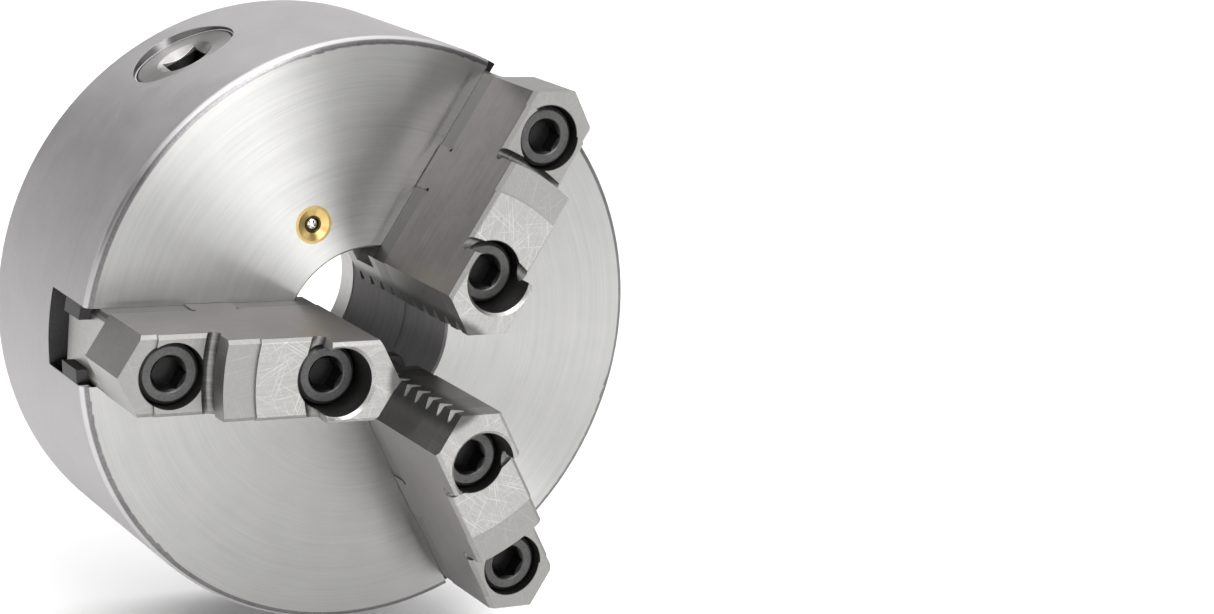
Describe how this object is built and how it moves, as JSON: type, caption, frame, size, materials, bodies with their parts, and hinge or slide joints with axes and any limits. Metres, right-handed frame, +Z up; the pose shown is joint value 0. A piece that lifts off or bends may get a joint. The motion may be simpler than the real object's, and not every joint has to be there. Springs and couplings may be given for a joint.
{
  "type": "lathe chuck",
  "caption": "Self-centring scroll chuck for a lathe: a steel body with two-piece stepped jaws that move together when a key turns a pinion in the rim.",
  "frame": {"origin": "where the chuck axis meets the rear face of the body, which is also the rear end of the through bore", "axes": "+Y along the chuck axis from the jaws to the spindle, +Z up, +X to the right for someone who looks at the jaws; the first jaw points to -X"},
  "size_m": [0.1615, 0.109, 0.16],
  "materials": {
    "chuck_steel": "satin turned and ground steel",
    "jaw_steel": "hardened and ground steel",
    "hardened_steel": "hardened steel, oiled",
    "black_oxide": "black oxide, satin",
    "oiler_brass": "turned brass",
    "ball_steel": "polished"
  },
  "bodies": {
    "chuck_body": {"body": "chuck_steel", "rear_cover": "chuck_steel", "cover_screws": "black_oxide", "pinion_keepers": "black_oxide", "oiler_cup": "oiler_brass", "oiler_spring": "ball_steel"},
    "scroll_plate": {"scroll": "hardened_steel"},
    "oil_ball": {"oiler_ball": "ball_steel"},
    "key_pinion_1": {"pinion_1": "hardened_steel"},
    "jaw_1": {"base_jaw_1": "jaw_steel", "top_jaw_1": "jaw_steel", "jaw_screws_1": "black_oxide"},
    "key_pinion_2": {"pinion_2": "hardened_steel"},
    "jaw_2": {"base_jaw_2": "jaw_steel", "top_jaw_2": "jaw_steel", "jaw_screws_2": "black_oxide"},
    "key_pinion_3": {"pinion_3": "hardened_steel"},
    "jaw_3": {"base_jaw_3": "jaw_steel", "top_jaw_3": "jaw_steel", "jaw_screws_3": "black_oxide"}
  },
  "joints": [
    {"name": "scroll_turn", "type": "hinge", "parent": "chuck_body", "child": "scroll_plate", "pos_m": [0, -0.03, 0], "axis": [0, -1, 0], "range_deg": [-1080, 508]},
    {"name": "jaw_1_slide", "type": "slide", "parent": "chuck_body", "child": "jaw_1", "axis": [1, 0, 0], "range_m": [-0.02402, 0.01131]},
    {"name": "jaw_2_slide", "type": "slide", "parent": "chuck_body", "child": "jaw_2", "axis": [-0.5, 0, -0.866], "range_m": [-0.02402, 0.01131]},
    {"name": "jaw_3_slide", "type": "slide", "parent": "chuck_body", "child": "jaw_3", "axis": [-0.5, 0, 0.866], "range_m": [-0.02402, 0.01131]},
    {"name": "pinion_1_turn", "type": "hinge", "parent": "chuck_body", "child": "key_pinion_1", "pos_m": [-0.035, -0.0233, 0.06062], "axis": [0.5, 0, -0.866], "range_deg": [-5401, 2541]},
    {"name": "pinion_2_turn", "type": "hinge", "parent": "chuck_body", "child": "key_pinion_2", "pos_m": [0.07, -0.0233, 0], "axis": [-1, 0, 0], "range_deg": [-5401, 2541]},
    {"name": "pinion_3_turn", "type": "hinge", "parent": "chuck_body", "child": "key_pinion_3", "pos_m": [-0.035, -0.0233, -0.06062], "axis": [0.5, 0, 0.866], "range_deg": [-5401, 2541]},
    {"name": "oil_ball_press", "type": "slide", "parent": "chuck_body", "child": "oil_ball", "axis": [0, 1, 0], "range_m": [0, 0.0012], "stiffness_N_per_m": 300, "deforming": ["oiler_spring"]}
  ],
  "couplings": [
    {"joint": "jaw_1_slide", "follows": "scroll_turn", "m_per_rad": 0.0012732},
    {"joint": "jaw_2_slide", "follows": "scroll_turn", "m_per_rad": 0.0012732},
    {"joint": "jaw_3_slide", "follows": "scroll_turn", "m_per_rad": 0.0012732},
    {"joint": "pinion_1_turn", "follows": "scroll_turn", "ratio": 5},
    {"joint": "pinion_2_turn", "follows": "scroll_turn", "ratio": 5},
    {"joint": "pinion_3_turn", "follows": "scroll_turn", "ratio": 5}
  ]
}
